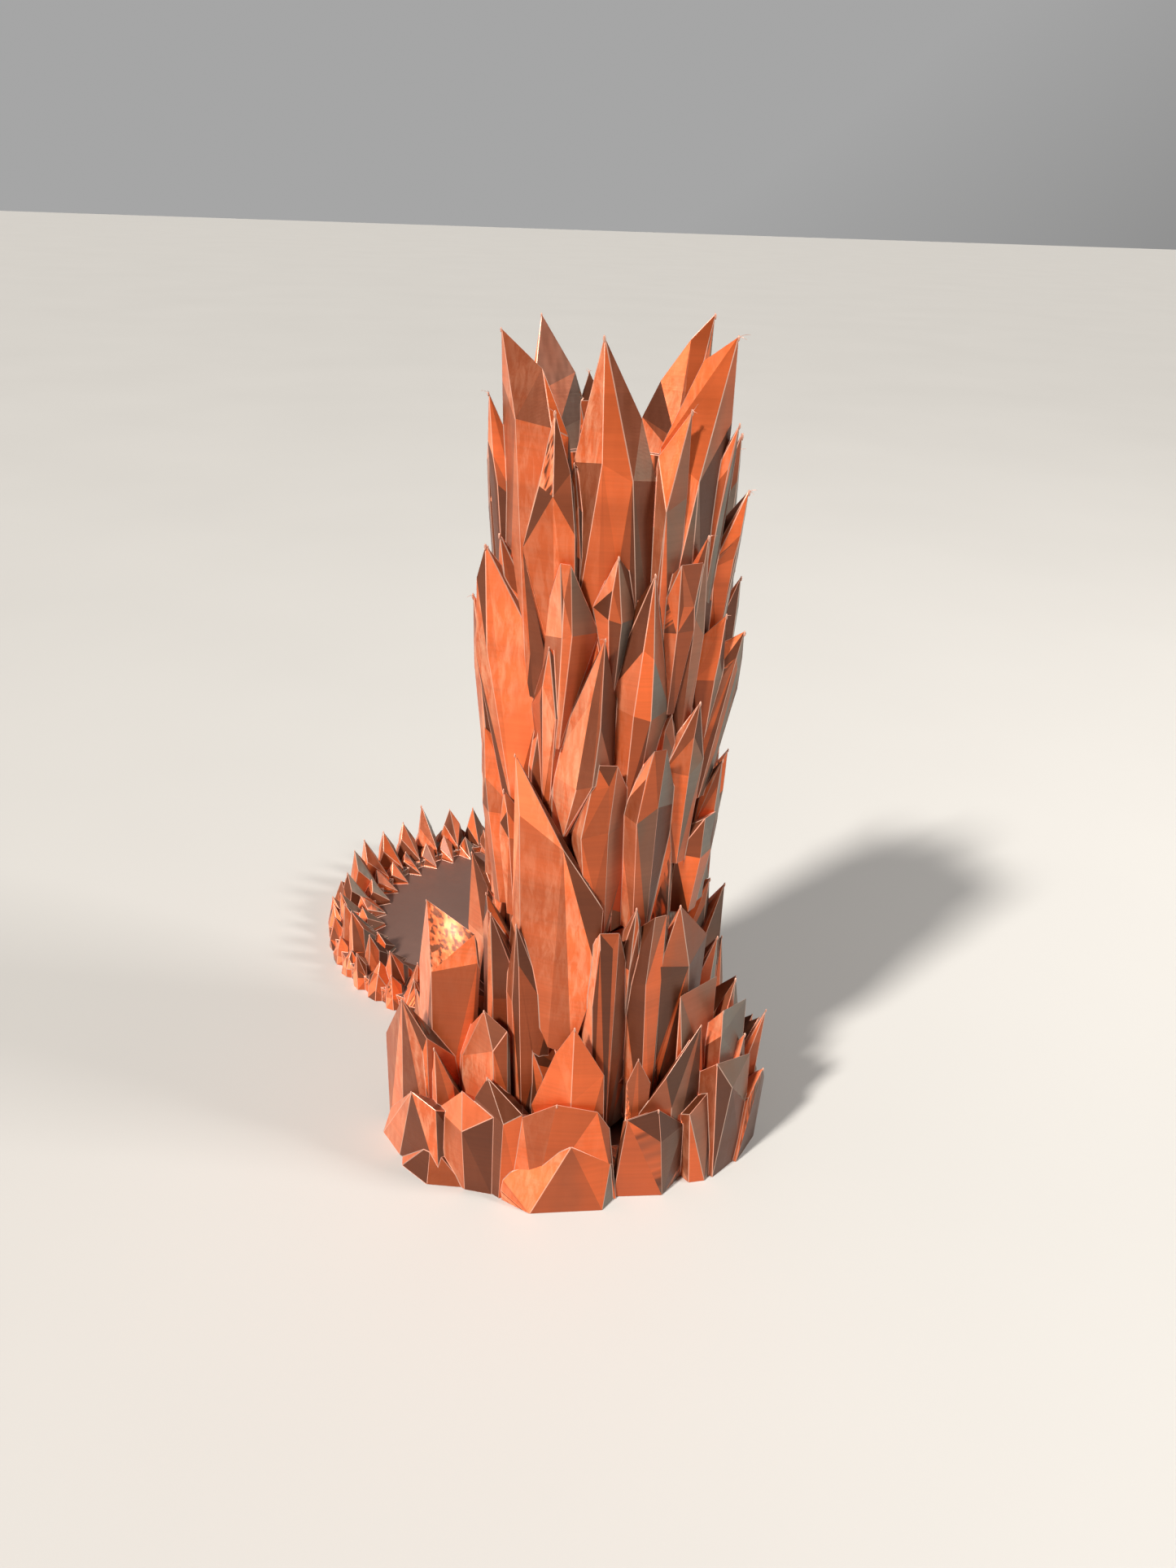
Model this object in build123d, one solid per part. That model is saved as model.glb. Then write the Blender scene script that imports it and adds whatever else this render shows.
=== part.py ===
from build123d import *
import os
from dataclasses import dataclass, replace
from math import cos, radians, sin, sqrt
from random import Random

import numpy as np
from scipy.spatial import ConvexHull

# A crystal-cluster dice tower with a round tray, 3-D printed in loose pieces.
# The frame: origin on the tower's axis at table level, +Z up, the tray in front along -Y.
# Angles run round the tower's axis from +X, turning towards +Y. All sizes are in mm.

# --- driving dimensions -------------------------------------------------------------------

BORE_R = 25  # the shaft that dice fall down
TUBE_R = 30  # plain tube under the crystals
SEAT_Z = 6  # underside of the tower, on the floor of the plinth's socket
LOW_SEAM_Z = 98  # lower section meets middle section
HIGH_SEAM_Z = 166  # middle section meets crown
CROWN_FOOT_Z = 172  # feet of the crown's largest crystals
RIM_Z = 232  # top of the crown's tube, between the crystals of the mouth
FIT = 0.3  # clearance between pieces that slide or drop together

PLINTH_INNER_R = 47  # plinth crystals stay outside this, so the tower lifts straight out
PLINTH_ROOT_R = 40  # the hidden backs of its low crystals, inside the drum that carries them
TOWER_ROOT_R = TUBE_R - 2.5  # the hidden backs of the tower's crystals, inside its tube
PLINTH_TOP_Z = 20
FRONT_Y = -56  # flat front of the plinth, where the tray docks
EXIT_WIDTH = 42  # the arch in the tower, the channel in the plinth and the gate in the tray
ARCH_SPRING_Z = 40  # where the arch's sides start to lean in
ARCH_TOP_Z = 54

RAMP_THICKNESS = 3
RAMP_REACH = 26  # how far a ramp covers the shaft, from the wall that it is fixed to
RAMP_TOPS = {"upper_ramp": 214, "middle_ramp": 152, "lower_ramp": 90}  # height at that wall
TAB_RISE = 4  # the curved tab that glues a ramp to the wall stands this far above it
TAB_HEIGHT = 20
TAB_THICKNESS = 2.2
TAB_FROM_Y = 14  # the tab covers the wall from here outwards
CHUTE_TOP_Z = 44
CHUTE_LEDGE = 4  # flat top at the back of the chute
CHUTE_LIP = 8  # flat end at the tray

TRAY_Y = -122  # centre of the round tray
TRAY_FLOOR_R = 60
TRAY_R = 77
TRAY_FLOOR_Z = 4
TRAY_CURB_Z = 7  # low wall under the rim's crystals
TRAY_DOCK_Z = 10  # blocks that hold the tray's magnets
DOCK_WIDTH = 12
DOCK_DEPTH = 9

DOWEL_R = 1.5
DOWEL_LENGTH = 10
DOWEL_ANGLES = (30, 150, 270)
MAGNET_R = 3
MAGNET_THICKNESS = 3
MAGNET_X = 30
MAGNET_Z = 5.5
HOLE_PLAY = 0.1  # a hole is this much larger all round than its dowel or magnet
FAR = 300  # longer than the whole object

# --- crystals -----------------------------------------------------------------------------

FLANK_SLOPE = 0.34  # how far a crystal's flanks stand back from its front, across its width
NECK_WIDTH = 0.62  # width halfway from its shoulder to its point
UNEVENNESS = 0.1  # how much its corners wander up and down, as a share of their height
WOBBLE = 0.5  # and how much they wander in and out
SPUR_DEPTH = 14  # how far the hidden backs of an uneven crystal stand behind its corners
SPUR_BACK = 0.7  # how high they reach, as a share of the corners' height
ARCH_SWEEP = 42  # crystals this many degrees each side of the arch are kept clear of it


def around(angle, side, out):
    """Plan position of a point, given in the directions across and away from the axis."""
    a = radians(angle)
    return out * cos(a) - side * sin(a), out * sin(a) + side * cos(a)


@dataclass
class Crystal:
    """One long faceted crystal. Its hidden back is rooted in the piece that it grows from."""

    angle: float  # where its middle stands, degrees round the axis
    foot: float  # height of its lower end
    tip: float  # height of its point
    width: float  # across the shoulder, where it is widest
    front: float = 40  # distance of its front edges from the axis
    reach: float = 0  # how much further out the point stands
    lean: float = 0  # how far the point stands to the +angle side
    edges: tuple = (-0.3, 0.4)  # its two front edges, across the half width
    shoulder: float = 0.6  # height of the shoulder, as a share of the length
    heel: float = 0.7  # width of the lower end, as a share of the width
    tuck: float = 3  # how far the lower end draws in under the shoulder
    chisel: float = 0  # width of a blunt point
    root: float = TOWER_ROOT_R  # distance of its hidden back from the axis
    centre_y: float = 0  # the axis that it stands round

    def points(self):
        """Corners of the crystal. Its facets are the flat faces round the outside of them."""
        uneven = Random(int(self.angle * 7 + self.tip * 3))
        length = self.tip - self.foot
        half = self.width / 2
        flank = max(self.root + 1, self.front - FLANK_SLOPE * self.width)
        corners = []
        neck = (1 + self.shoulder) / 2
        for share, size, inset in (
            (0, self.heel, self.tuck),
            (self.shoulder, 1, 0),
            (neck, NECK_WIDTH, -self.reach / 2),
        ):
            height = self.foot + share * length
            for side, out in (
                (-1, flank),
                (self.edges[0], self.front),
                (self.edges[1], self.front),
                (1, flank),
            ):
                step = share * length * uneven.uniform(-UNEVENNESS, UNEVENNESS)
                back = min(inset + uneven.uniform(-WOBBLE, WOBBLE), out - self.root)
                corners.append((share * self.lean + side * size * half, out - back, height + step))
            back_r = self.root if share < neck else (self.root + self.front + self.reach) / 2
            corners.append((share * self.lean, back_r, height))
        for side in (-self.chisel / 2, self.chisel / 2):
            corners.append((self.lean + side, self.front + self.reach, self.tip))
        placed = []
        for side, out, height in corners:
            x, y = around(self.angle, side, out)
            placed.append((x, y + self.centre_y, height))
        return placed


@dataclass
class Spur:
    """An uneven crystal, given by its corners. Each is an angle, a distance and a height."""

    apex: tuple
    shoulders: tuple  # the corners under its point
    feet: tuple  # the corners of its lower end; the height is left out if it stands on the table
    root: float = PLINTH_ROOT_R  # its hidden back comes no nearer to the axis than this
    turn: float = 0  # how far the whole crystal is moved round the axis

    @property
    def tip(self):
        return self.apex[2]

    def points(self):
        feet = [foot if len(foot) == 3 else (*foot, 0) for foot in self.feet]
        bottom = min(height for _, _, height in feet)
        corners = list(self.shoulders) + feet
        backs = []
        for angle, out, height in corners:
            back_height = bottom + SPUR_BACK * (height - bottom)
            backs.append((angle, max(out - SPUR_DEPTH, self.root), back_height))
        placed = []
        for angle, out, height in [self.apex] + corners + backs:
            placed.append((*around(angle + self.turn, 0, out), height))
        return placed


FLATNESS = 1e-6


def faceted(points):
    """A closed solid whose flat faces are the outside of the points."""
    cloud = np.array(points, dtype=float)
    hull = ConvexHull(cloud)
    faces = []
    seen = set()
    for plane in hull.equations:
        on_plane = [i for i in hull.vertices if abs(cloud[i] @ plane[:3] + plane[3]) < FLATNESS]
        if frozenset(on_plane) in seen:
            continue
        seen.add(frozenset(on_plane))
        middle = cloud[on_plane].mean(axis=0)
        across = cloud[on_plane[0]] - middle
        along = np.cross(plane[:3], across)

        def bearing(i):
            return np.arctan2((cloud[i] - middle) @ along, (cloud[i] - middle) @ across)

        ring = [tuple(cloud[i]) for i in sorted(on_plane, key=bearing)]
        faces.append(Face(Wire.make_polygon([Vector(*p) for p in ring], close=True)))
    return Solid(Shell(faces))


def crown_feet(*places):
    """Feet of one of the crown's crystals, which the tier below hides."""
    return tuple((angle, out, CROWN_FOOT_Z) for angle, out in places)


# The crown: long crystals that stand round the mouth and lean a little outwards.
CROWN = [
    Spur(
        (64, 37, 271),
        ((57, 36, 252), (53, 36, 240), (65.5, 40, 241), (77, 40, 237), (80, 36.5, 252), (88, 36, 236)),
        crown_feet((50, 35), (66, 35.5), (86, 35.5), (96, 35)),
        root=TOWER_ROOT_R,
    ),
    Spur(
        (47.5, 40.5, 253),
        ((42, 41, 234), (35, 41, 217), (48.5, 42, 232), (54, 40, 238), (56.5, 40, 222)),
        crown_feet((36, 36), (48, 36), (57, 36)),
        root=TOWER_ROOT_R,
    ),
    Spur(
        (11, 36, 270),
        ((12, 36, 257), (27, 38.5, 249), (37, 35.5, 262), (44, 37.5, 248), (50, 35, 246)),
        crown_feet((16, 35), (31, 35.5), (50, 35)),
        root=TOWER_ROOT_R,
    ),
    Crystal(9, 190, 254, 13, 38, 1, edges=(-0.2, 0.5)),
    Crystal(54, 185, 240, 13, 38, -1),
    Crystal(80, 185, 243, 14, 37, 0),
    Spur(
        (100, 38, 254),
        ((87.5, 36.5, 242.5), (90, 40.5, 229), (100, 38.5, 232)),
        crown_feet((88, 35.5), (92, 36), (101, 35.5)),
        root=TOWER_ROOT_R,
    ),
    Spur(
        (121.5, 38, 271),
        ((110, 33, 265), (90, 33.5, 244), (121, 38.5, 250), (104, 39.5, 236), (127, 35, 240)),
        crown_feet((90, 35), (108, 35.5), (124, 35)),
        root=TOWER_ROOT_R,
    ),
    Crystal(118, 190, 250, 12, 38, 3, lean=2),
    Crystal(130, 185, 232, 12, 40, 2),
    Crystal(148, 185, 244, 18, 35, 0, lean=2),
    Crystal(170, 185, 238, 18, 35, 1),
    Spur(
        (204.5, 37.5, 272),
        ((211, 32, 265), (225, 28.5, 253), (235.5, 28.5, 242), (207, 35, 256), (228, 35, 240)),
        crown_feet((204, 35), (216, 36), (237, 35)),
        root=TOWER_ROOT_R,
    ),
    Crystal(190, 185, 246, 16, 35, 0),
    Crystal(234, 185, 234, 20, 35, 1),
    Crystal(252, 185, 236, 20, 35, 1),
    Crystal(266, 190, 254, 12, 34, 0),
    Crystal(288, 190, 270, 24, 35, 1, lean=2, edges=(-0.4, 0.2)),
    Crystal(310, 185, 248, 18, 35, 1),
    Crystal(332, 185, 240, 18, 35, 0),
    Crystal(351, 185, 246, 16, 36, 0),
]

# The middle tier of leaves, which overlap the crown's feet.
LEAVES = [
    Crystal(31, 135, 215, 25, 41, 0, lean=-11, edges=(-0.7, -0.3)),
    Crystal(20, 160, 218, 16, 38, 1, lean=-1),
    Crystal(8, 140, 199, 15, 42, 1, lean=-1),
    Crystal(50, 160, 215, 18, 42, 0, lean=3, chisel=3, edges=(0.1, 0.4), heel=0.4),
    Crystal(45, 140, 191, 16, 40, 1, lean=2, heel=0.4),
    Crystal(73, 178, 218, 12, 41, 1, edges=(-0.3, 0.3), heel=0.4),
    Crystal(83, 140, 213, 20, 41, 0, lean=3, edges=(-0.2, 0.3), shoulder=0.45),
    Crystal(101, 170, 215, 15, 40, 1, lean=1, chisel=7, heel=0.4),
    Crystal(109, 160, 222, 12, 40, 1, lean=0),
    Crystal(55, 132, 196, 20, 42, 0, lean=11, edges=(0.1, 0.6), shoulder=0.3, heel=0.15),
    Crystal(124, 150, 198, 12, 40, 1),
    Crystal(121, 140, 192, 20, 41, 2, lean=9, edges=(0, 0.6)),
    Crystal(145, 140, 205, 20, 38, 1),
    Crystal(112, 120, 174, 15, 41, 0),
]

# Blunt blades below them.
BLADES = [
    Crystal(17, 99, 159, 18, 41, 0, lean=-4, edges=(-0.3, 0.1)),
    Crystal(29, 99, 144, 10, 43, 0),
    Crystal(74, 99, 158, 20, 42, 0, lean=-1, chisel=6, edges=(-0.7, 0.1), shoulder=0.65),
    Crystal(95, 99, 162, 19, 42, 0, lean=-1, chisel=4, edges=(-0.7, 0), shoulder=0.65),
    Crystal(124, 99, 135, 16, 41, 1, chisel=6),
    Crystal(130, 102, 152, 12, 41, 1),
    Crystal(147, 99, 150, 20, 39, 1),
]

# The lowest tier on the tower: the same blades again, further down.
LOW_BLADES = [
    Crystal(24, 24, 99, 18, 44, 0, lean=-1, edges=(-0.3, 0.1), tuck=0),
    Crystal(41, 24, 101, 18, 45, 0, lean=-2, edges=(-0.2, 0.2), tuck=0),
    Crystal(78, 24, 103, 18, 44, 0, lean=-1, chisel=6, edges=(-0.5, 0.2), shoulder=0.7, tuck=0),
    Crystal(99, 24, 107, 17, 44, 0, lean=-1, chisel=4, edges=(-0.5, 0.1), shoulder=0.7, tuck=0),
    Crystal(88, 60, 110, 8, 42, 0),
    Crystal(134, 24, 88, 16, 44, 1, tuck=0),
    Crystal(152, 24, 100, 20, 43, 0, tuck=0),
]


def tall_blade(turn):
    """The largest blade, which rises from the lowest tier and over the seam."""
    return Spur(
        (35, 43, 157),
        ((33, 42, 103), (38, 43.5, 138), (57, 43, 130), (74, 42, 110), (73, 43, 86), (39, 43, 80)),
        ((52, 41.5, 55), (63, 41.5, 54)),
        root=TOWER_ROOT_R,
        turn=turn,
    )


def broad_blade(turn):
    """A short blade with a wide slanting top."""
    return Spur(
        (108, 43, 108),
        ((99, 44, 88), (112, 46, 86), (126, 44, 92)),
        ((102, 43, 30), (122, 43, 30)),
        root=TOWER_ROOT_R,
        turn=turn,
    )


OUTSIZE_BLADES = [tall_blade(0), tall_blade(180), broad_blade(0), broad_blade(180)]


def backing(foot, tip, front, turn):
    """A plain ring of crystals close to the tube, which closes the gaps of one tier."""
    return [
        Crystal(turn + k * 30, foot, tip + 6 * (k % 2), 21, front, shoulder=0.7, heel=1, tuck=0)
        for k in range(12)
    ]


LOW_BACKING = backing(26, 96, 38, 0)
SKIRT = backing(24, 48, 43, 15)
MIDDLE_BACKING = backing(99, 164, 37, 12)
HIGH_BACKING = backing(HIGH_SEAM_Z + 1, 224, 35, 10)


def shard(angle, tip, width, front, reach=0, lean=0, edges=(-0.4, 0.3), shoulder=0.3):
    """A crystal of the plinth: it stands on the table, broad at the bottom."""
    return Crystal(
        angle,
        0,
        tip,
        width,
        front,
        reach,
        lean,
        edges,
        shoulder,
        heel=0.95,
        tuck=1,
        root=PLINTH_INNER_R,
    )


PLINTH_OUTLINE = [(-58, FRONT_Y), (58, FRONT_Y), (68, -20), (62, 10), (46, 30), (24, 46)]
PLINTH_OUTLINE += [(-24, 46), (-44, 34), (-58, 12), (-62, -20)]

# The plinth's crystals on the +Y side, low and broad, from +X round to -X.
SPURS = [
    Spur(
        (4, 58.5, 99),
        ((19, 48, 91), (21, 48, 81), (11, 60, 76), (-4, 60, 70), (-4, 48, 78)),
        ((-4, 61), (10, 60), (13, 50), (-4, 48)),
    ),
    Spur((13, 69, 32), ((21, 65, 29), (-1, 72, 12)), ((-2, 75), (8, 72), (23, 66))),
    Spur((8, 69, 66), ((-7, 72, 39), (15, 64, 54), (14, 65, 48)), ((-6, 72), (3, 69), (14, 63))),
    Spur((19, 66, 13), (), ((8, 71), (12, 73), (22, 70), (31, 61))),
    Spur((26, 58, 37), ((17, 62, 25), (30, 62, 25), (39, 57, 33)), ((15, 65), (31, 62), (39, 58))),
    Spur((34, 54, 45), ((31, 57, 37), (43, 57, 32), (48, 53, 35)), ((28, 58), (42, 58), (48, 54))),
    Spur(
        (27, 49.5, 66),
        ((5, 51, 40), (18, 52.5, 44), (34, 51.5, 54), (38, 48.5, 62)),
        ((6, 52), (18, 53), (36, 52), (40, 50)),
    ),
    Spur(
        (60, 51, 41),
        ((41, 54, 29), (48, 53, 34), (75, 50.5, 39), (80, 49.5, 31)),
        ((34, 59), (54, 55.5), (84, 50)),
    ),
    Spur((66, 52, 25), ((42, 57, 9), (81, 50, 16)), ((43, 58), (54, 59.5), (78, 54.5), (84, 49))),
    Spur(
        (65, 48, 70),
        ((49, 48.5, 36), (58, 48, 59), (65, 49.5, 41), (77, 48, 52)),
        ((50, 48.5), (66, 50), (79, 48)),
    ),
    Spur((90, 48, 57), ((86, 48, 48), (96, 48, 46)), ((87, 48), (94, 48))),
    Spur(
        (98, 51.5, 37),
        ((86, 51, 35), (99, 53, 24), (111, 51, 25)),
        ((83, 49), (101, 53.5), (116, 49.5)),
    ),
    Spur(
        (116, 50.5, 64),
        ((92, 48, 34), (102, 49, 47), (105, 50, 34), (120, 50.5, 41)),
        ((93, 48), (106, 50), (120, 50.5)),
    ),
    Spur(
        (126, 49, 78),
        ((107, 47.5, 77), (109, 47.5, 51), (124, 50, 39)),
        ((109, 47.5), (115, 50), (126, 50)),
    ),
    Spur((120, 54, 37), ((110, 54, 32), (124, 55, 31)), ((113, 54), (118, 57), (126, 56))),
    Spur((127, 57, 25), ((135, 58, 13),), ((116, 50), (127, 58.5), (141, 57))),
    Spur((134, 58, 54), ((129, 58, 40), (138, 58, 38)), ((129, 58), (138, 58))),
    Spur((133, 53, 75), ((128, 52, 58), (138, 52, 56)), ((128, 53), (138, 53))),
    Spur(
        (138, 56, 65),
        ((123, 54, 68), (122, 55, 59), (136, 57, 40)),
        ((123, 55), (138, 57)),
    ),
    Spur(
        (136, 60, 45),
        ((118, 57, 51), (124, 60, 39), (135, 61, 25)),
        ((121, 58), (136, 61)),
    ),
    Spur((141, 64, 36), ((134, 62, 28), (148, 64, 26)), ((132, 61), (146, 63))),
]

# Taller ones beside the tray, and those of the -X side, where the tower's foot shows.
PLINTH = [
    shard(-13, 62, 30, 61, -2, shoulder=0.5),
    shard(16, 50, 14, 62, 0),
    shard(144, 58, 18, 60, 2),
    shard(157, 44, 28, 60, 0),
    shard(171, 34, 28, 61, 0),
    shard(184, 42, 26, 60, -1),
    shard(178, 20, 30, 66, -3),
    shard(196, 52, 24, 60, 0),
    shard(207, 80, 30, 58, -2, edges=(-0.1, 0.4)),
    shard(192, 24, 28, 67, -3),
]

# Shorter ones on both sides of the dice's way out.
for side_angle, tip, width, front in (
    (-27, 40, 26, 66),
    (-37, 33, 24, 68),
    (-46, 27, 20, 70),
    (-51, 17, 18, 76),
    (-32, 18, 26, 73),
):
    PLINTH.append(shard(side_angle, tip, width, front, -2))
    PLINTH.append(shard(180 - side_angle, tip + 8, width, front, -2))


def rim(count, tip, width, front, root, turn):
    """A row of small crystals round the tray, of uneven height, with a gap at the tower."""
    row = []
    uneven = Random(count)
    for k in range(count):
        angle = turn + k * 360 / count
        if abs((angle - 90 + 180) % 360 - 180) < 20:
            continue
        height = tip * uneven.uniform(0.75, 1.1)
        spike = Crystal(
            angle,
            0,
            height,
            width * uneven.uniform(0.85, 1.15),
            front,
            reach=uneven.uniform(-5, -1),
            lean=uneven.uniform(-1.5, 1.5),
            shoulder=0.35,
            heel=1,
            tuck=0,
            root=root,
            centre_y=TRAY_Y,
        )
        row.append(spike)
    return row


TRAY_RIM = (
    rim(36, 15, 11, 67, 54, 4)
    + rim(34, 27, 12, 74, TRAY_FLOOR_R, 3)
    + rim(46, 16, 11, 79, TRAY_R - 9, 0)
)

# --- build ---------------------------------------------------------------------------------


def upright(radius, bottom, top, centre_y=0):
    """A round bar that stands upright."""
    bar = Cylinder(radius, top - bottom, align=(Align.CENTER, Align.CENTER, Align.MIN))
    return Pos(0, centre_y, bottom) * bar


def block(half_width, y_range, z_range):
    """A box that is centred on X = 0."""
    depth = y_range[1] - y_range[0]
    height = z_range[1] - z_range[0]
    box = Box(2 * half_width, depth, height, align=(Align.CENTER, Align.MIN, Align.MIN))
    return Pos(0, y_range[0], z_range[0]) * box


def largest(shape):
    """The main solid, without crumbs that a cut has left."""
    return max(shape.solids(), key=lambda solid: solid.volume)


def round_the_back(tier):
    """The tier carries on round the far side of the tower, half a turn on."""
    return [replace(crystal, angle=crystal.angle + 180) for crystal in tier]


def over_the_arch(tier):
    """The same crystals, with those in front of the arch cut short above it, or left out."""
    kept = []
    lowest = ARCH_TOP_Z + 2
    for crystal in tier:
        away = abs((crystal.angle - 270 + 180) % 360 - 180)
        if away < ARCH_SWEEP and crystal.foot < lowest:
            if crystal.tip < lowest + crystal.width:
                continue
            crystal = replace(crystal, foot=lowest)
        kept.append(crystal)
    return kept


def section(crystals, bottom, top, rising_from_below=()):
    """One stacked piece of the tower: a tube clad in crystals, with the shaft through it."""
    body = upright(TUBE_R, bottom, top).solid().fuse(*[faceted(c.points()) for c in crystals])
    above = max(c.tip for c in crystals) + 1
    body = body.cut(upright(BORE_R, bottom - 1, above).solid())
    if above > top and top < RIM_Z:
        body = body.cut(upright(TUBE_R + FIT, top, above).solid())
    blades = [faceted(c.points()) for c in rising_from_below if c.tip > bottom]
    if blades:
        body = body.cut(*blades)
    return largest(body)


def dowels(seam_z, radius, length):
    """Three upright pins across a seam, inside the tube's wall."""
    middle_r = (BORE_R + TUBE_R) / 2
    pins = []
    for angle in DOWEL_ANGLES:
        x, y = around(angle, 0, middle_r)
        pins.append(Pos(x, y, seam_z) * Cylinder(radius, length))
    return pins


def tower_sections():
    """The three stacked pieces of the tower, from the bottom up."""
    blades = BLADES + LEAVES + round_the_back(BLADES + LEAVES)
    low = over_the_arch(LOW_BLADES + round_the_back(LOW_BLADES) + LOW_BACKING + SKIRT)
    low += OUTSIZE_BLADES
    mid = [c for c in blades if c.foot < HIGH_SEAM_Z - 5] + MIDDLE_BACKING
    high = CROWN + [replace(c, foot=max(c.foot, HIGH_SEAM_Z + 1)) for c in blades if c not in mid]
    high += HIGH_BACKING
    lower = section(low, SEAT_Z, LOW_SEAM_Z)
    middle = section(mid, LOW_SEAM_Z, HIGH_SEAM_Z, low)
    crown = section(high, HIGH_SEAM_Z, RIM_Z, mid)

    half = EXIT_WIDTH / 2
    opening = [(-half, SEAT_Z - 1), (half, SEAT_Z - 1), (half, ARCH_SPRING_Z)]
    opening += [(0, ARCH_TOP_Z), (-half, ARCH_SPRING_Z)]
    face = make_face(Plane.XZ * Polyline(*opening, close=True))
    lower = lower.cut(extrude(face, amount=FAR).solid())

    hole = (DOWEL_R + HOLE_PLAY, DOWEL_LENGTH + 4 * HOLE_PLAY)
    low_holes = [pin.solid() for pin in dowels(LOW_SEAM_Z, *hole)]
    high_holes = [pin.solid() for pin in dowels(HIGH_SEAM_Z, *hole)]
    return {
        "lower_section": largest(lower.cut(*low_holes)),
        "middle_section": largest(middle.cut(*low_holes, *high_holes)),
        "crown_section": largest(crown.cut(*high_holes)),
    }


def ramp(top_z, wall):
    """A shelf that slopes down at 45 degrees from the wall on its side (-1 front, +1 back)."""
    tip_y = BORE_R - RAMP_REACH
    drop = RAMP_THICKNESS * sqrt(2)
    profile = [(BORE_R, top_z), (tip_y, top_z - RAMP_REACH)]
    profile += [(tip_y, top_z - RAMP_REACH - drop), (BORE_R, top_z - drop)]
    face = make_face(Plane.YZ * Polyline(*[(wall * y, z) for y, z in profile], close=True))
    outer_r = BORE_R - FIT
    tab_top = top_z + TAB_RISE
    tab_foot = tab_top - TAB_HEIGHT
    shelf = extrude(face, amount=BORE_R, both=True) & upright(outer_r, 0, tab_top)
    ring = upright(outer_r, tab_foot, tab_top) - upright(outer_r - TAB_THICKNESS, 0, tab_top + 1)
    near_wall = block(BORE_R, sorted((wall * TAB_FROM_Y, wall * BORE_R)), (0, tab_top))
    return largest((shelf + (ring & near_wall)).solid())


def exit_chute():
    """The wedge at the foot of the shaft, which turns dice out through the arch."""
    low = TRAY_FLOOR_Z + 3
    profile = [(BORE_R, SEAT_Z), (BORE_R, CHUTE_TOP_Z), (BORE_R - CHUTE_LEDGE, CHUTE_TOP_Z)]
    profile += [(FRONT_Y + CHUTE_LIP, low), (FRONT_Y, low), (FRONT_Y, SEAT_Z)]
    face = make_face(Plane.YZ * Polyline(*profile, close=True))
    half = EXIT_WIDTH / 2 - FIT
    wedge = extrude(face, amount=half, both=True)
    inside = upright(BORE_R - FIT, 0, CHUTE_TOP_Z + 1) + block(half, (FRONT_Y, 0), (0, CHUTE_TOP_Z))
    return largest(wedge & inside)


def magnets(face_y, inward, radius, length):
    """Two round magnets set into an upright face, left and right of the dice's way."""
    discs = []
    for x in (-MAGNET_X, MAGNET_X):
        place = Pos(x, face_y + inward * length / 2, MAGNET_Z) * Rot(90, 0, 0)
        discs.append(place * Cylinder(radius, length))
    return discs


def magnet_pockets(face_y, inward):
    """Cutters for the pockets that the magnets sit in."""
    depth = MAGNET_THICKNESS + 2 * HOLE_PLAY
    return [disc.solid() for disc in magnets(face_y, inward, MAGNET_R + HOLE_PLAY, depth)]


def plinth():
    """The block that the tower stands in, ringed with broad crystals."""
    slab = extrude(make_face(Polyline(*PLINTH_OUTLINE, close=True)), amount=TRAY_DOCK_Z)
    drum = upright(PLINTH_INNER_R - 1, 0, PLINTH_TOP_Z)
    body = slab.solid().fuse(drum.solid(), *[faceted(c.points()) for c in SPURS + PLINTH])
    body = body.cut(upright(TUBE_R + FIT, SEAT_Z, PLINTH_TOP_Z + 1).solid())
    body = body.cut(upright(PLINTH_INNER_R, PLINTH_TOP_Z, FAR).solid())
    half = EXIT_WIDTH / 2
    body = body.cut(
        block(half, (-FAR, -BORE_R / 2), (SEAT_Z, FAR)).solid(),
        block(FAR, (-FAR, FRONT_Y), (0, FAR)).solid(),
        block(FAR, (-FAR, FAR), (-FAR, 0)).solid(),
        *magnet_pockets(FRONT_Y, 1),
    )
    return largest(body)


def tray():
    """The round tray, with three rows of small crystals on its rim."""
    gate_y = FRONT_Y - FIT
    dish = upright(TRAY_R, 0, TRAY_CURB_Z, TRAY_Y) - upright(
        TRAY_FLOOR_R, TRAY_FLOOR_Z, TRAY_CURB_Z + 1, TRAY_Y
    )
    dock = block(DOCK_WIDTH / 2, (gate_y - DOCK_DEPTH, gate_y), (0, TRAY_DOCK_Z))
    docks = [Pos(x, 0, 0) * dock for x in (-MAGNET_X, MAGNET_X)]
    body = dish.solid().fuse(*[faceted(c.points()) for c in TRAY_RIM])
    body = body.fuse(*[each.solid() for each in docks])
    body = body.cut(
        block(EXIT_WIDTH / 2, (TRAY_Y + TRAY_FLOOR_R / 2, 0), (TRAY_FLOOR_Z, FAR)).solid(),
        block(FAR, (gate_y, FAR), (0, FAR)).solid(),
        block(FAR, (-FAR, FAR), (-FAR, 0)).solid(),
        *magnet_pockets(gate_y, -1),
    )
    return largest(body)


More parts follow.
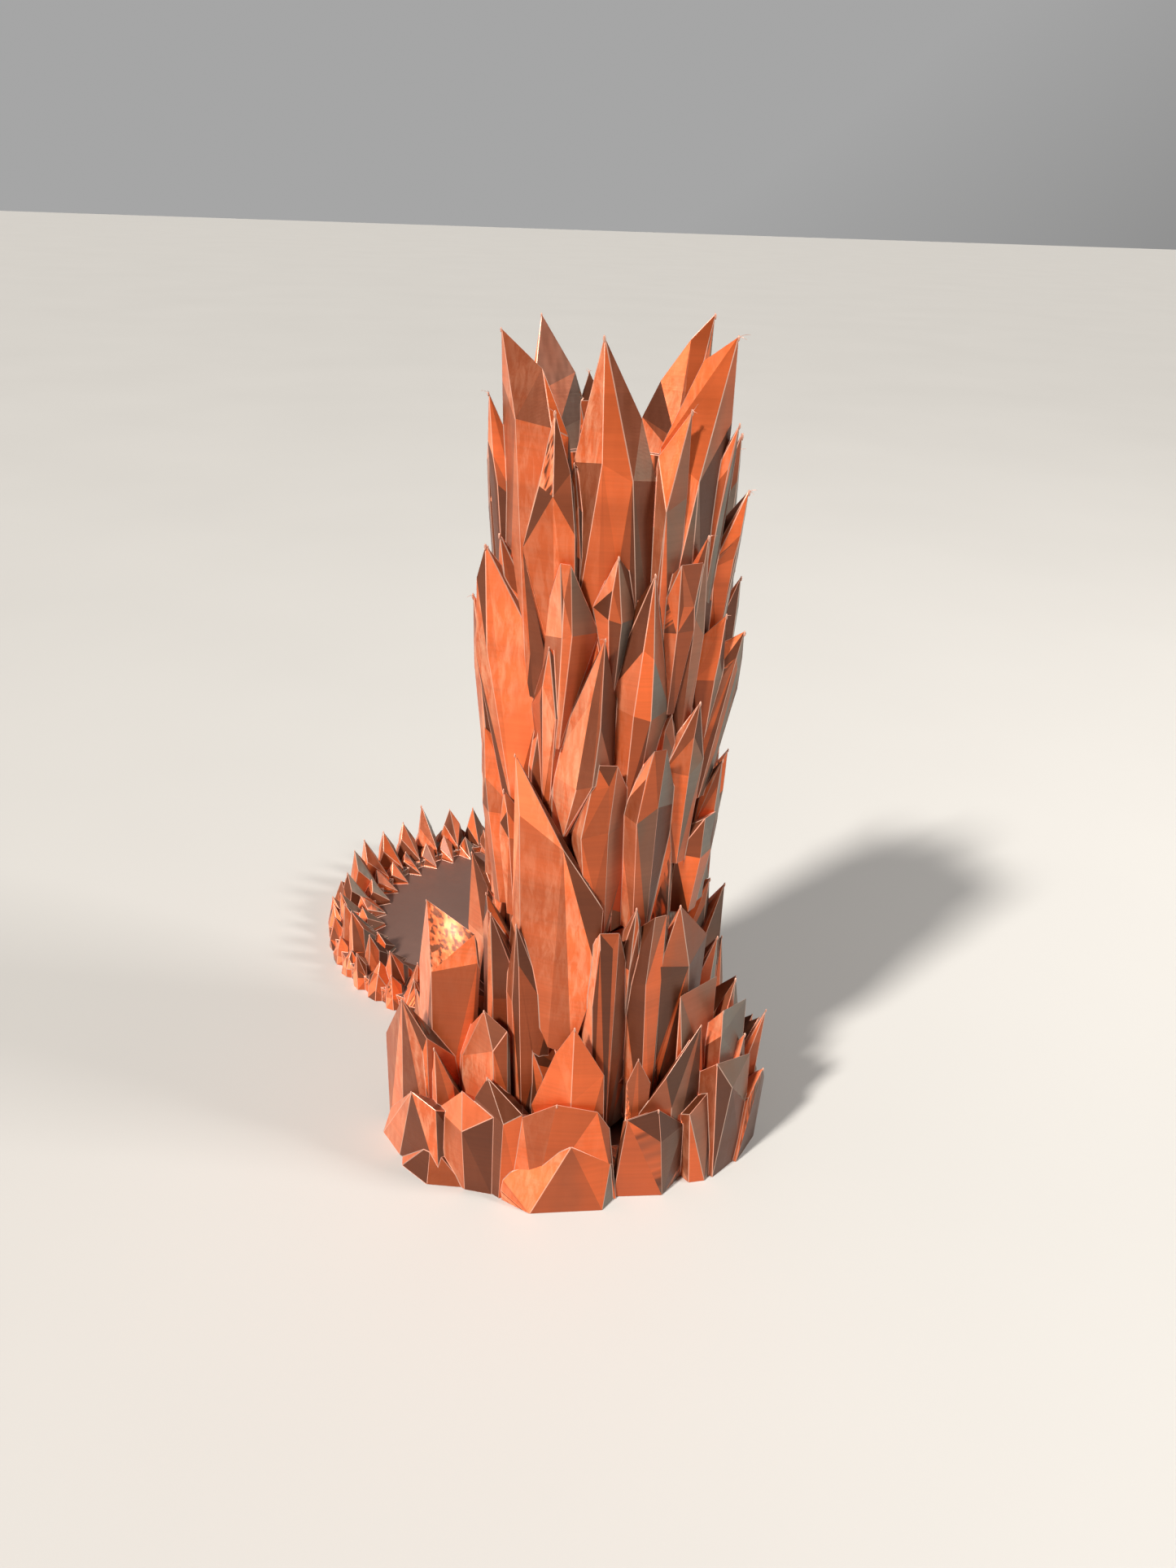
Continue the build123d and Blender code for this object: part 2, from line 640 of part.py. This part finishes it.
os.makedirs("parts", exist_ok=True)
pieces = tower_sections()
pieces["plinth"] = plinth()
pieces["dice_tray"] = tray()
pieces["exit_chute"] = exit_chute()
pieces["upper_ramp"] = ramp(RAMP_TOPS["upper_ramp"], -1)
pieces["middle_ramp"] = ramp(RAMP_TOPS["middle_ramp"], 1)
pieces["lower_ramp"] = ramp(RAMP_TOPS["lower_ramp"], -1)
pieces["lower_dowels"] = Compound(dowels(LOW_SEAM_Z, DOWEL_R, DOWEL_LENGTH))
pieces["upper_dowels"] = Compound(dowels(HIGH_SEAM_Z, DOWEL_R, DOWEL_LENGTH))
magnet = (MAGNET_R, MAGNET_THICKNESS)
pieces["plinth_magnets"] = Compound(magnets(FRONT_Y + HOLE_PLAY, 1, *magnet))
pieces["tray_magnets"] = Compound(magnets(FRONT_Y - FIT - HOLE_PLAY, -1, *magnet))
for name, piece in pieces.items():
    export_step(piece, f"parts/{name}.step")
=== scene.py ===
import math
import random

import bmesh
import bpy
from mathutils import Matrix, Vector


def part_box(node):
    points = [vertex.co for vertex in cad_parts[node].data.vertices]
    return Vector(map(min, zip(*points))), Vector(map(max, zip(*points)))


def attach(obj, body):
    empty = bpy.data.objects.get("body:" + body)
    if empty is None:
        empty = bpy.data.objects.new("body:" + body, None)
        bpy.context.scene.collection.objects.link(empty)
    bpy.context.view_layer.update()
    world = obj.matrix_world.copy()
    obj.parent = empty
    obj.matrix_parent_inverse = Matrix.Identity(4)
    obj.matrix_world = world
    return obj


# The looks of a crystal-cluster dice tower, printed in two-colour silk filament: copper seen
# from one side, grey from the other. All lengths are in metres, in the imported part's frame.

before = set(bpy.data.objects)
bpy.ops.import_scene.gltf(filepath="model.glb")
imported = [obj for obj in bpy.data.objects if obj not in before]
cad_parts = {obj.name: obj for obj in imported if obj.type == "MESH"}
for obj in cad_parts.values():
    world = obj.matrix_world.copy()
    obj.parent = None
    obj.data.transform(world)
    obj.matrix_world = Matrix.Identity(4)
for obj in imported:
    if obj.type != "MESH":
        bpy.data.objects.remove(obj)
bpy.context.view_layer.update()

MM = 0.001
WELD_DISTANCE = 0.001 * MM  # points closer than this are the same point
TOWER_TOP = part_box("crown_section")[1].z

# --- camera ---------------------------------------------------------------------------------

CAMERA_BEARING = math.radians(161)  # which way the camera's right-hand side points
CAMERA_PITCH = math.radians(63.5)
CAMERA_ROLL = math.radians(2.4)
CAMERA_DISTANCE = 0.341  # from the tower's axis, along the floor
CAMERA_SIDESTEP = -0.004
CAMERA_HEIGHT = 0.301
CAMERA_LENS = 36.05

RIGHT = Vector((math.cos(CAMERA_BEARING), math.sin(CAMERA_BEARING), 0))
AWAY = Vector((-RIGHT.y, RIGHT.x, 0))
UP = Vector((0, 0, 1))


def seen_from_camera(right, away, height):
    """A place given to the camera's right of the tower's axis, beyond it, and up."""
    return right * RIGHT + away * AWAY + height * UP


def add_camera():
    data = bpy.data.cameras.new("camera")
    data.sensor_fit = "HORIZONTAL"
    data.sensor_width = 36
    data.lens = CAMERA_LENS
    data.clip_start = 0.01
    camera = bpy.data.objects.new("camera", data)
    bpy.context.scene.collection.objects.link(camera)
    turn = Matrix.Rotation(CAMERA_BEARING, 4, "Z")
    turn = turn @ Matrix.Rotation(CAMERA_PITCH, 4, "X") @ Matrix.Rotation(CAMERA_ROLL, 4, "Z")
    place = seen_from_camera(CAMERA_SIDESTEP, -CAMERA_DISTANCE, CAMERA_HEIGHT)
    camera.matrix_world = Matrix.Translation(place) @ turn
    bpy.context.scene.camera = camera


# --- node helpers -----------------------------------------------------------------------------


def colour(red, green, blue):
    """A display colour, 0 to 255, as the linear colour that shaders take."""

    def linear(value):
        value /= 255
        return value / 12.92 if value <= 0.04045 else ((value + 0.055) / 1.055) ** 2.4

    return linear(red), linear(green), linear(blue), 1


class Nodes:
    """Builds one material's node tree. An input is given a number, a colour or a socket."""

    def __init__(self, name):
        self.material = bpy.data.materials.new(name)
        self.material.use_nodes = True
        self.tree = self.material.node_tree
        self.tree.nodes.clear()

    def add(self, kind, inputs=None, **settings):
        node = self.tree.nodes.new("ShaderNode" + kind)
        for key, value in settings.items():
            setattr(node, key, value)
        for key, value in (inputs or {}).items():
            if isinstance(value, bpy.types.NodeSocket):
                self.tree.links.new(value, node.inputs[key])
            else:
                node.inputs[key].default_value = value
        return node

    def math(self, operation, a, b=0.0):
        return self.add("Math", {0: a, 1: b}, operation=operation).outputs[0]

    def dot(self, a, b):
        return self.add("VectorMath", {0: a, 1: b}, operation="DOT_PRODUCT").outputs["Value"]

    def scaled(self, vector, scale):
        inputs = {0: vector, 1: scale}
        return self.add("VectorMath", inputs, operation="MULTIPLY").outputs[0]

    def noise(self, vector, detail=2.0, roughness=0.5, distortion=0.0):
        inputs = {"Vector": vector, "Scale": 1.0, "Detail": detail}
        inputs.update({"Roughness": roughness, "Distortion": distortion})
        return self.add("TexNoise", inputs).outputs["Fac"]

    def spread(self, value, low, high, to_low=0.0, to_high=1.0):
        """The value, with low to high stretched to to_low to to_high."""
        inputs = {"Value": value, "From Min": low, "From Max": high}
        inputs.update({"To Min": to_low, "To Max": to_high})
        return self.add("MapRange", inputs).outputs[0]

    def ramp(self, value, stops):
        node = self.add("ValToRGB", {"Fac": value})
        elements = node.color_ramp.elements
        while len(elements) < len(stops):
            elements.new(0.5)
        for element, (position, stop) in zip(elements, stops):
            element.position = position
            element.color = stop
        return node.outputs["Color"]

    def mix(self, factor, a, b, blend="MIX"):
        node = self.add("Mix", {0: factor, 6: a, 7: b}, data_type="RGBA", blend_type=blend)
        return node.outputs[2]

    def bump(self, height, distance, strength=1.0, normal=None):
        inputs = {"Height": height, "Distance": distance, "Strength": strength}
        if normal is not None:
            inputs["Normal"] = normal
        return self.add("Bump", inputs).outputs[0]

    def finish(self, shader):
        self.add("OutputMaterial", {"Surface": shader.outputs[0]})
        return self.material


# --- materials ---------------------------------------------------------------------------------

LAYER = 0.25 * MM  # height of one printed layer


def copper_to_grey_with_painted_light(n, side, gloom, upward):
    """Copper on facets that look to the camera's left, grey on those that look to its right, with painted
    light: palest where they face the key light, darker turned away.
    """
    tone = n.ramp(
        n.spread(side, -1, 1),
        [
            (0.00, colour(250, 140, 96)),
            (0.25, colour(234, 112, 60)),
            (0.45, colour(228, 104, 48)),
            (0.62, colour(214, 100, 50)),
            (0.74, colour(176, 92, 56)),
            (0.85, colour(124, 96, 78)),
            (0.96, colour(124, 120, 110)),
        ],
    )
    tone = n.mix(n.math("MULTIPLY", gloom, 0.9), tone, colour(92, 48, 26))
    return n.mix(n.spread(upward, 0.75, 0.98), tone, colour(122, 92, 82))


def print_and_painted_facet_shade(n, facet, bands, layers):
    """A grey to multiply the colour by: it varies band to band and layer to layer, and facet to facet as
    painted light and shade.
    """
    shade = n.spread(bands, 0.3, 0.7, 0.86, 1.08)
    shade = n.math("MULTIPLY", shade, n.spread(facet, 0.35, 0.65, 1.15, 0.75))
    shade = n.math("MULTIPLY", shade, n.spread(layers, 0.3, 0.7, 0.94, 1.05))
    return n.add("CombineColor", {0: shade, 1: shade, 2: shade}).outputs[0]


def printed_relief(n, place, height, layers, creases):
    """Slow waves, the lines between layers, and creases where the surface is like foil."""
    waves = n.noise(n.scaled(place, (120, 120, 40)), detail=2)
    lines = n.math("SINE", n.math("MULTIPLY", height, 2 * math.pi / LAYER))
    normal = n.bump(waves, 1.2 * MM, 0.5)
    normal = n.bump(lines, 0.02 * MM, 0.4, normal)
    normal = n.bump(layers, 0.05 * MM, 0.5, normal)
    return n.bump(creases, 0.5 * MM, 0.5, normal)


def silk(name, edge=False):
    """Two-colour silk filament. Each facet's colour depends on which way it faces, partly as painted light
    and shade.
    """
    n = Nodes(name)
    coordinates = n.add("TexCoord")
    place = coordinates.outputs["Object"]
    facing = coordinates.outputs["Normal"]
    height = n.add("SeparateXYZ", {0: place}).outputs["Z"]
    upward = n.add("SeparateXYZ", {0: facing}).outputs["Z"]

    # a flat facet faces one way all over, so these give each facet a shade of its own,
    # and make some facets dark and smooth
    facet = n.noise(n.scaled(facing, (13, 13, 13)), detail=1)
    gloom = n.spread(n.noise(n.scaled(facing, (19, 19, 19)), detail=1), 0.48, 0.6)
    patches = n.noise(n.scaled(place, (55, 55, 28)), detail=2)
    side = n.dot(facing, tuple(RIGHT))
    side = n.math("ADD", side, n.spread(facet, 0.35, 0.65, -0.25, 0.25))
    side = n.math("ADD", side, n.spread(patches, 0.35, 0.65, -0.08, 0.08))

    # bands are wide stretches where the print ran glossier or duller
    bands = n.noise(n.scaled(place, (6, 6, 70)), detail=2)
    layers = n.noise(n.scaled(place, (25, 25, 1 / (4 * LAYER))), detail=2, roughness=0.6)
    tone = copper_to_grey_with_painted_light(n, side, gloom, upward)
    # each facet is painted lighter or darker, as if catching the light at its own angle
    base = n.mix(1.0, tone, print_and_painted_facet_shade(n, facet, bands, layers), "MULTIPLY")

    # the copper side is creased like foil, in patches, but not where it is dark or faces upward, and the
    # creases are painted paler as glints
    wrinkles = n.noise(n.scaled(place, (430, 430, 120)), detail=5, roughness=0.65, distortion=0.5)
    creases_and_glint_mask = n.math("MULTIPLY", n.spread(side, 0.0, -0.6), n.spread(patches, 0.35, 0.55))
    creases_and_glint_mask = n.math("MULTIPLY", creases_and_glint_mask, n.math("SUBTRACT", 1.0, gloom))
    creases_and_glint_mask = n.math("MULTIPLY", creases_and_glint_mask, n.spread(upward, 0.25, 0.5, 1.0, 0.0))
    painted_glints = n.math("MULTIPLY", creases_and_glint_mask, n.spread(wrinkles, 0.42, 0.62))
    # painted glints: pale colour mixed into the creases on the facets turned to the key light
    base = n.mix(n.math("MULTIPLY", painted_glints, 0.5), base, colour(255, 196, 158))
    # the edge strips and tips are painted paler: a painted highlight where they catch the light
    if edge:
        base = n.mix(0.45, base, colour(250, 210, 190))

    creases = n.math("MULTIPLY", wrinkles, creases_and_glint_mask)
    shader = n.add(
        "BsdfPrincipled",
        {
            "Base Color": base,
            "Metallic": 0.5,
            "Roughness": n.spread(bands, 0.3, 0.7, 0.38, 0.52),
            "Anisotropic": 0.4,
            "Anisotropic Rotation": 0.25,
            "Coat Weight": 0.15,
            "Coat Roughness": 0.3,
            "Normal": printed_relief(n, place, height, layers, creases),
            "Tangent": n.add("Tangent", direction_type="RADIAL", axis="Z").outputs[0],
        },
    )
    return n.finish(shader)


def steel():
    """Ground steel pins, with fine turned rings."""
    n = Nodes("dowel_steel")
    place = n.add("TexCoord").outputs["Object"]
    rings = n.noise(n.scaled(place, (200, 200, 9000)), detail=2)
    smudges = n.noise(n.scaled(place, (300, 300, 300)), detail=3)
    shader = n.add(
        "BsdfPrincipled",
        {
            "Base Color": n.mix(smudges, colour(196, 198, 202), colour(160, 162, 166)),
            "Metallic": 1.0,
            "Roughness": n.spread(smudges, 0.3, 0.7, 0.22, 0.38),
            "Normal": n.bump(rings, 0.02 * MM, 0.3),
        },
    )
    return n.finish(shader)


def nickel():
    """Plated magnets, slightly scuffed."""
    n = Nodes("magnet_plating")
    place = n.add("TexCoord").outputs["Object"]
    scuffs = n.noise(n.scaled(place, (900, 900, 250)), detail=5, roughness=0.7)
    shader = n.add(
        "BsdfPrincipled",
        {
            "Base Color": n.mix(scuffs, colour(222, 220, 214), colour(190, 188, 182)),
            "Metallic": 1.0,
            "Roughness": n.spread(scuffs, 0.35, 0.7, 0.1, 0.3),
            "Normal": n.bump(scuffs, 0.01 * MM, 0.3),
        },
    )
    return n.finish(shader)


def pale_floor():
    n = Nodes("pale_floor")
    place = n.add("TexCoord").outputs["Object"]
    mottle = n.noise(n.scaled(place, (4, 4, 4)), detail=3)
    shader = n.add(
        "BsdfPrincipled",
        {
            "Base Color": n.mix(mottle, colour(188, 187, 185), colour(182, 181, 179)),
            "Roughness": 0.8,
            "Specular IOR Level": 0.2,
        },
    )
    return n.finish(shader)


# --- the CAD pieces ----------------------------------------------------------------------------

EDGE_ROUNDING = 0.16 * MM
SHARPEST_ANGLE = math.radians(18)  # gentler folds than this aren't rounded


def soften_edges(node):
    """Rounds the printed edges slightly, and gives the rounded strips the second material, painted paler
    as a highlight.
    """
    weld = node.modifiers.new("weld", "WELD")
    weld.merge_threshold = WELD_DISTANCE
    bevel = node.modifiers.new("edges", "BEVEL")
    bevel.width = EDGE_ROUNDING
    bevel.segments = 1
    bevel.limit_method = "ANGLE"
    bevel.angle_limit = SHARPEST_ANGLE
    bevel.use_clamp_overlap = False
    bevel.material = 1


def dress_cad_pieces():
    """Gives every CAD piece its material. Returns the paler material of edges and tips, a painted
    highlight.
    """
    filament = silk("silk_filament")
    painted_edge_highlight = silk("silk_painted_edge_highlight", edge=True)
    pins = steel()
    plating = nickel()
    for name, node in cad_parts.items():
        node.data.materials.clear()
        if "dowels" in name:
            node.data.materials.append(pins)
        elif "magnets" in name:
            node.data.materials.append(plating)
        else:
            node.data.materials.append(filament)
            node.data.materials.append(painted_edge_highlight)
            soften_edges(node)
    return painted_edge_highlight


# --- what the printer left behind ---------------------------------------------------------------

BODY_OF = {
    "crown_section": "tower",
    "middle_section": "tower",
    "lower_section": "tower",
    "plinth": "base",
    "dice_tray": "tray",
}
TIP_DROP = 1.2 * MM  # a point is a tip if everything joined to it is at least this much lower
TIP_SPACING = 3 * MM
LUMP_RADIUS = 0.34 * MM
LUMP_STRETCH = 2.6  # a lump is this much taller than it is wide
HAIR_RADIUS = 0.07 * MM  # at its root
HAIR_TAPER = 0.6  # the share of its thickness that it loses on its way
HAIR_STEPS = 6
HAIR_SIDES = 5
HAIR_ROOT = 0.4 * MM  # how far below the tip it starts
HAIRY_FROM = 195 * MM  # wisps of filament are left on the tips above this
HAIRY_SHARE = 0.6  # of those tips


def tips(node):
    """The sharp points of a piece, highest first."""
    mesh = bmesh.new()
    mesh.from_mesh(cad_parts[node].data)
    bmesh.ops.remove_doubles(mesh, verts=mesh.verts, dist=WELD_DISTANCE)
    found = []
    for vertex in sorted(mesh.verts, key=lambda v: (-v.co.z, v.co.x)):
        neighbours = [edge.other_vert(vertex).co.z for edge in vertex.link_edges]
        if max(neighbours) > vertex.co.z - TIP_DROP:
            continue
        if all((vertex.co - tip).length > TIP_SPACING for tip in found):
            found.append(vertex.co.copy())
    mesh.free()
    return found


def make_piece(name, mesh, body, material):
    data = bpy.data.meshes.new(name)
    mesh.to_mesh(data)
    mesh.free()
    data.materials.append(material)
    piece = bpy.data.objects.new(name, data)
    bpy.context.scene.collection.objects.link(piece)
    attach(piece, body)
    return piece


def add_lump(mesh, tip, chance):
    """A small lump where the nozzle left the last layer of a point."""
    size = LUMP_RADIUS * chance.uniform(0.7, 1.2)
    place = tip - UP * size * LUMP_STRETCH * 0.8 + RIGHT * chance.uniform(-0.3, 0.3) * size
    made = bmesh.ops.create_icosphere(mesh, subdivisions=2, radius=size)
    for vertex in made["verts"]:
        vertex.co *= chance.uniform(0.85, 1.15)
        vertex.co.z *= LUMP_STRETCH
        vertex.co += place


def add_hair(mesh, tip, chance):
    """A wisp of filament pulled off a tip, as a fine closed tube that bends and droops."""
    outward = Vector((tip.x, tip.y, 0)).normalized()
    sideways = UP.cross(outward)
    heading = outward * chance.uniform(0.3, 1) + sideways * chance.uniform(-0.8, 0.8)
    heading += UP * chance.uniform(0.1, 0.9)
    heading.normalize()
    length = chance.uniform(1.5, 4) * MM
    rings = []
    place = tip - UP * HAIR_ROOT
    for step in range(HAIR_STEPS):
        across = heading.cross(UP).normalized()
        over = across.cross(heading)
        radius = HAIR_RADIUS * (1 - HAIR_TAPER * step / HAIR_STEPS)
        ring = []
        for side in range(HAIR_SIDES):
            turn = 2 * math.pi * side / HAIR_SIDES
            spoke = math.cos(turn) * across + math.sin(turn) * over
            ring.append(mesh.verts.new(place + radius * spoke))
        rings.append(ring)
        bend = sideways * chance.uniform(-0.5, 0.5) - UP * chance.uniform(0, 0.35)
        heading = (heading + bend).normalized()
        place = place + heading * length / HAIR_STEPS
    for below, above in zip(rings, rings[1:]):
        for side in range(HAIR_SIDES):
            after = (side + 1) % HAIR_SIDES
            mesh.faces.new((below[side], below[after], above[after], above[side]))
    mesh.faces.new(reversed(rings[0]))
    mesh.faces.new(rings[-1])


def add_print_marks(material):
    """Lumps on the tips of every printed piece, and wisps on the tower's upper tips."""
    chance = random.Random(5)
    for node, body in BODY_OF.items():
        lumps = bmesh.new()
        hairs = bmesh.new()
        for tip in tips(node):
            add_lump(lumps, tip, chance)
            if tip.z > HAIRY_FROM and chance.random() < HAIRY_SHARE:
                for _ in range(chance.randint(1, 3)):
                    add_hair(hairs, tip, chance)
        for face in lumps.faces:
            face.smooth = True
        make_piece(f"{node}_tips", lumps, body, material)
        if hairs.verts:
            make_piece(f"{node}_wisps", hairs, body, material)
        else:
            hairs.free()


# --- stage -------------------------------------------------------------------------------------


def add_floor():
    half = 12
    mesh = bpy.data.meshes.new("floor")
    corners = [(-half, -half, 0), (half, -half, 0), (half, half, 0), (-half, half, 0)]
    mesh.from_pydata(corners, [], [(0, 1, 2, 3)])
    mesh.materials.append(pale_floor())
    floor = bpy.data.objects.new("floor", mesh)
    bpy.context.scene.collection.objects.link(floor)


def add_softbox(name, place, size, power, tint=(1, 1, 1)):
    data = bpy.data.lights.new(name, "AREA")
    data.shape = "RECTANGLE"
    data.size, data.size_y = size
    data.energy = power
    data.color = tint
    light = bpy.data.objects.new(name, data)
    bpy.context.scene.collection.objects.link(light)
    target = Vector((0, 0, TOWER_TOP / 2))
    light.matrix_world = (
        Matrix.Translation(place) @ (target - place).to_track_quat("-Z", "Y").to_matrix().to_4x4()
    )


def add_sun(name, place, power, softness, tint=(1, 1, 1)):
    """A lamp far away in the direction of a place, so that it lights the whole floor evenly."""
    data = bpy.data.lights.new(name, "SUN")
    data.energy = power
    data.angle = softness
    data.color = tint
    light = bpy.data.objects.new(name, data)
    bpy.context.scene.collection.objects.link(light)
    light.matrix_world = Matrix.Translation(place) @ place.to_track_quat("Z", "Y").to_matrix().to_4x4()


def add_room():
    """A plain room around the object, brighter above and beyond it than behind the camera."""
    world = bpy.data.worlds.new("room")
    world.use_nodes = True
    tree = world.node_tree
    direction = tree.nodes.new("ShaderNodeTexCoord").outputs["Generated"]
    toward_light = tree.nodes.new("ShaderNodeVectorMath")
    toward_light.operation = "DOT_PRODUCT"
    tree.links.new(direction, toward_light.inputs[0])
    toward_light.inputs[1].default_value = seen_from_camera(-0.35, 0.65, 0.67)
    ramp = tree.nodes.new("ShaderNodeValToRGB")
    tree.links.new(toward_light.outputs["Value"], ramp.inputs["Fac"])
    dark, bright = ramp.color_ramp.elements
    dark.position, dark.color = 0.0, colour(76, 70, 64)
    bright.position, bright.color = 0.62, colour(226, 226, 226)
    background = tree.nodes["Background"]
    tree.links.new(ramp.outputs["Color"], background.inputs["Color"])
    background.inputs["Strength"].default_value = 0.5
    bpy.context.scene.world = world


def add_lights():
    key_place = seen_from_camera(-0.6, -0.65, 0.85)  # beside the camera, on its left
    add_sun("key", key_place, 5.2, math.radians(6), (1.0, 0.95, 0.88))
    fill_place = seen_from_camera(1.1, -0.2, 0.9)  # off to the camera's right
    add_softbox("fill", fill_place, (0.3, 0.3), 13, (1.0, 0.95, 0.9))
    add_room()


add_camera()
# the tips' lumps and wisps take the edge material, with its painted highlight
add_print_marks(dress_cad_pieces())
add_floor()
add_lights()
bpy.context.scene.view_settings.view_transform = "Standard"
